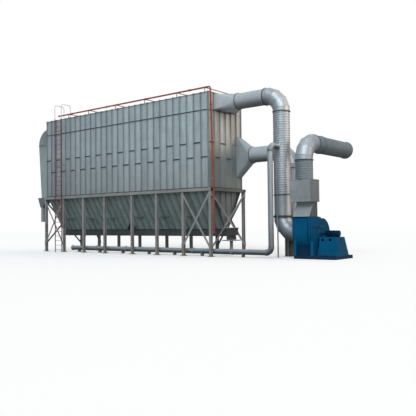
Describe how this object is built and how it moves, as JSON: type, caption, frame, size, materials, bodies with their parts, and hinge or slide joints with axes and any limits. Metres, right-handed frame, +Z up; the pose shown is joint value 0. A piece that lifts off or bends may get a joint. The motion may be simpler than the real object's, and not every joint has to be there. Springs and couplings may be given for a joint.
{
  "type": "bag filter dust collector with fan",
  "caption": "Long modular bag-filter dust collector on a braced steel frame, with a trough hopper, round ducts, centrifugal fan, silencer, fire pipe and access ladder.",
  "frame": {"origin": "underside of the base plate of the front left column, at ground level on the column line", "axes": "+X along the row of panels towards the fan, +Y from the front to the rear, +Z up"},
  "size_m": [22.2, 5.92, 9.7209],
  "materials": {
    "frame_steel": "matt grey primer on rolled steel",
    "galvanised_panel": "weathered galvanised sheet",
    "hopper_sheet": "weathered galvanised sheet in shade",
    "conveyor_grey": "satin grey paint",
    "galvanised_duct": "bright galvanised spiral duct",
    "support_steel": "dull galvanised steel",
    "fan_blue": "satin blue machine enamel",
    "motor_paint": "satin dark blue enamel",
    "silencer_grey": "satin grey sheet",
    "fire_red": "weathered red paint",
    "ladder_red": "dark red paint"
  },
  "bodies": {
    "root": {"base_plates": "frame_steel", "braces_split": "frame_steel", "braces_whole": "frame_steel", "columns": "frame_steel", "conveying_pipe": "galvanised_duct", "discharge_head": "conveyor_grey", "drop_pipe": "galvanised_duct", "end_beams": "frame_steel", "exhaust_elbow": "galvanised_duct", "exhaust_outlet": "galvanised_duct", "exhaust_riser": "galvanised_duct", "fan_base": "fan_blue", "fan_casing": "fan_blue", "fan_inlet": "fan_blue", "fan_motor": "motor_paint", "fan_outlet": "galvanised_duct", "fan_pedestal": "fan_blue", "fire_branches": "fire_red", "fire_main": "fire_red", "fire_riser": "fire_red", "fire_supports": "support_steel", "front_wall": "galvanised_panel", "grab_loops": "support_steel", "hopper_ends": "hopper_sheet", "hopper_front": "hopper_sheet", "hopper_rear": "hopper_sheet", "inlet_duct": "galvanised_duct", "inlet_elbow": "galvanised_duct", "inlet_hood": "galvanised_duct", "inlet_riser": "galvanised_duct", "ladder": "ladder_red", "ladder_brackets": "support_steel", "left_wall": "galvanised_panel", "leg_duct": "galvanised_panel", "leg_hopper": "galvanised_panel", "leg_spout": "galvanised_panel", "outlet_duct": "galvanised_duct", "outlet_elbow": "galvanised_duct", "outlet_transition": "galvanised_duct", "pipe_bends": "galvanised_duct", "pipe_branch": "galvanised_duct", "pipe_riser": "galvanised_duct", "pipe_saddles": "support_steel", "rear_wall": "galvanised_panel", "right_wall": "galvanised_panel", "roof": "galvanised_panel", "rotary_valve": "conveyor_grey", "screw_troughs": "conveyor_grey", "side_beams": "frame_steel", "silencer": "silencer_grey", "suction_elbow": "galvanised_duct", "suction_pipe": "galvanised_duct", "suction_riser": "galvanised_duct", "suction_stand": "support_steel", "vibrator_bars": "conveyor_grey"}
  },
  "joints": []
}
